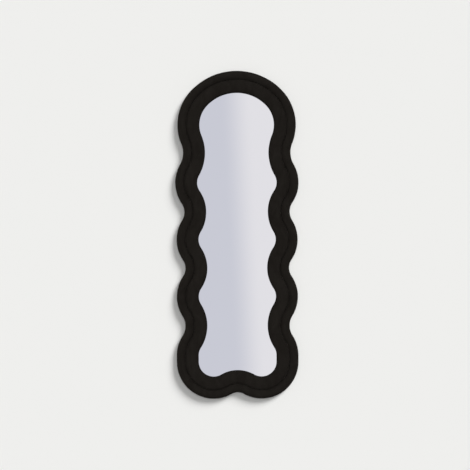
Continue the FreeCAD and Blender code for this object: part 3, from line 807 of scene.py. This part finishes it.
# %% Put up the wall and the floor
FLOOR_DROP = 0.42
STAGE_REACH = 12.0
BEHIND = 0.5 * MM


def flat_card(name, corners, material):
    """A stage card that takes light and shadow but gives none back."""
    card = mesh_object(name, corners, faces=[(0, 1, 2, 3)])
    card.data.materials.append(material)
    card.visible_glossy = False
    card.visible_diffuse = False
    card.visible_shadow = False
    return card


wall_paint, tree = new_material("matte_wall_paint")
paint = add(tree, "ShaderNodeBsdfDiffuse", {"Color": colour("#efefed")})
clear = add(tree, "ShaderNodeBsdfTransparent")
behind = add(tree, "ShaderNodeNewGeometry").outputs["Backfacing"]
wall_mix = add(tree, "ShaderNodeMixShader", {0: behind, 1: paint.outputs["BSDF"],
                                             2: clear.outputs["BSDF"]})
add(tree, "ShaderNodeOutputMaterial", {"Surface": wall_mix.outputs["Shader"]})
floor_paint, tree = new_material("matte_floor_paint")
paint = add(tree, "ShaderNodeBsdfDiffuse", {"Color": colour("#dcdcdb")})
add(tree, "ShaderNodeOutputMaterial", {"Surface": paint.outputs["BSDF"]})
near, far, floor_z = -STAGE_REACH, STAGE_REACH, low.z - FLOOR_DROP
wall = flat_card("wall", [(near, BEHIND, floor_z), (far, BEHIND, floor_z), (far, BEHIND, far),
                          (near, BEHIND, far)], wall_paint)
floor = flat_card("floor", [(near, near, floor_z), (far, near, floor_z), (far, far, floor_z),
                            (near, far, floor_z)], floor_paint)
print("floor at", round(floor_z, 3), "m")

# %% [markdown]
# ## The room in the glass
# A mirror looks like whatever it reflects. In the picture that is a cool grey on the left and a
# paler grey on the right, with a soft, slightly slanted border. The world shows this room to
# glossy rays only. Further out it has a darker corner, a bright window side and a floor, so that
# the glass also looks like glass from other angles.

# %% Paint the room
ROOM_SLANT = 0.05
world = bpy.data.worlds.new("studio")
scene.world = world
world.use_nodes = True
tree = world.node_tree
tree.nodes.clear()
direction = add(tree, "ShaderNodeTexCoord").outputs["Generated"]
parts = add(tree, "ShaderNodeSeparateXYZ", {"Vector": direction}).outputs
slant = add(tree, "ShaderNodeMath", {0: parts["Z"], 1: ROOM_SLANT}, operation="MULTIPLY")
sideways = add(tree, "ShaderNodeMath", {0: parts["X"], 1: slant.outputs["Value"]},
               operation="ADD").outputs["Value"]
# Each border: what it runs across, where it starts and ends, and the colour beyond it.
ROOM_BORDERS = [
    (sideways, -0.0057, 0.0167, "#ede9ee"),
    (sideways, -0.12, -0.45, "#a9acb6"),
    (sideways, 0.2, 0.5, "#fbfaf8"),
    (parts["Z"], -0.16, -0.3, "#c9c6c2"),
]
room = colour("#d3d2dd")
for across, start, end, beyond in ROOM_BORDERS:
    step = add(tree, "ShaderNodeMapRange", {"Value": across, "From Min": start, "From Max": end},
               interpolation_type="SMOOTHSTEP")
    room = add(tree, "ShaderNodeMixRGB", {"Fac": step.outputs["Result"], "Color1": room,
                                          "Color2": colour(beyond)}).outputs["Color"]
print("room with", len(ROOM_BORDERS), "soft borders")

# %% [markdown]
# ## The light
# Straight rays and rays through glass see a pale backdrop, glossy rays see the room, and
# everything else gets a weak, even fill.

# %% Light from all round
FILL = 0.2
path = add(tree, "ShaderNodeLightPath").outputs
fill = add(tree, "ShaderNodeBackground", {"Color": (1, 1, 1, 1), "Strength": FILL})
mirrored = add(tree, "ShaderNodeBackground", {"Color": room, "Strength": 1.0})
backdrop = add(tree, "ShaderNodeBackground", {"Color": colour("#eeeeed"), "Strength": 1.0})
lit = add(tree, "ShaderNodeMixShader", {0: path["Is Glossy Ray"], 1: fill.outputs["Background"],
                                        2: mirrored.outputs["Background"]})
straight = add(tree, "ShaderNodeMath", {0: path["Is Camera Ray"], 1: path["Is Transmission Ray"]},
               operation="MAXIMUM")
lit = add(tree, "ShaderNodeMixShader", {0: straight.outputs["Value"], 1: lit.outputs["Shader"],
                                        2: backdrop.outputs["Background"]})
add(tree, "ShaderNodeOutputWorld", {"Surface": lit.outputs["Shader"]})
print("world has", len(tree.nodes), "nodes")

# %% [markdown]
# In the picture the fabric is lit evenly from the front and a little from above, but the shadow on
# the wall lies to the left and below. A photographer can get that with a background lamp, so there
# is one here. It shines on the wall alone and throws the shadow, darkest beside the frame and gone
# after about 60 mm. A wide lamp in front shines on the object alone, and a weaker one on both. Weak
# lamps at the sides lift the rims, and one more lights the back. Together they are at a plain
# level, at which a colour renders about as it is written.


# %% Light from the lamps
def soft_sun(name, towards, level, spread, shines_on):
    """Even light from one side of the room, softened by the width of its source in degrees.

    At level 1 it makes white paper that faces it render white. It shines on everything where
    shines_on is None, and otherwise on that collection alone."""
    data = bpy.data.lights.new(name, "SUN")
    data.energy = level * math.pi
    data.angle = math.radians(spread)
    lamp = bpy.data.objects.new(name, data)
    scene.collection.objects.link(lamp)
    lamp.rotation_euler = Vector(towards).to_track_quat("Z", "Y").to_euler()
    lamp.visible_glossy = False
    lamp.light_linking.receiver_collection = shines_on


def group_of(name, pieces):
    """A collection for light linking, which isn't part of the scene's own collections."""
    group = bpy.data.collections.new(name)
    for piece in pieces:
        group.objects.link(piece)
    return group


object_pieces = [piece for piece in scene.objects if piece.type == "MESH"
                 and piece not in (wall, floor, track_object)]
object_alone = group_of("object_alone", object_pieces)
wall_alone = group_of("wall_alone", [wall, floor])
# Each lamp: where its light comes from, its level, its spread and what it shines on.
LAMPS = {
    "front": ((0, -1.0, 0.2), 0.24, 25, None),
    "object_lamp": ((0, -1.0, 0.35), 0.6, 60, object_alone),
    "background_lamp": ((1.15, -1.0, 1.3), 1.13, 24, wall_alone),
    "left_side": ((-1.0, 0.25, 0.1), 0.4, 20, object_alone),
    "right_side": ((1.0, 0.25, 0.1), 0.4, 20, object_alone),
    "back": ((-0.3, 1.0, 0.25), 0.45, 20, None),
}
for name, (towards, level, spread, shines_on) in LAMPS.items():
    soft_sun(name, towards, level, spread, shines_on)
print("lamps:", ", ".join(LAMPS))

# %% [markdown]
# ## Tidy up
# The outline that served as the track of every sweep is removed.

# %% Remove the track
bpy.data.objects.remove(track_object)
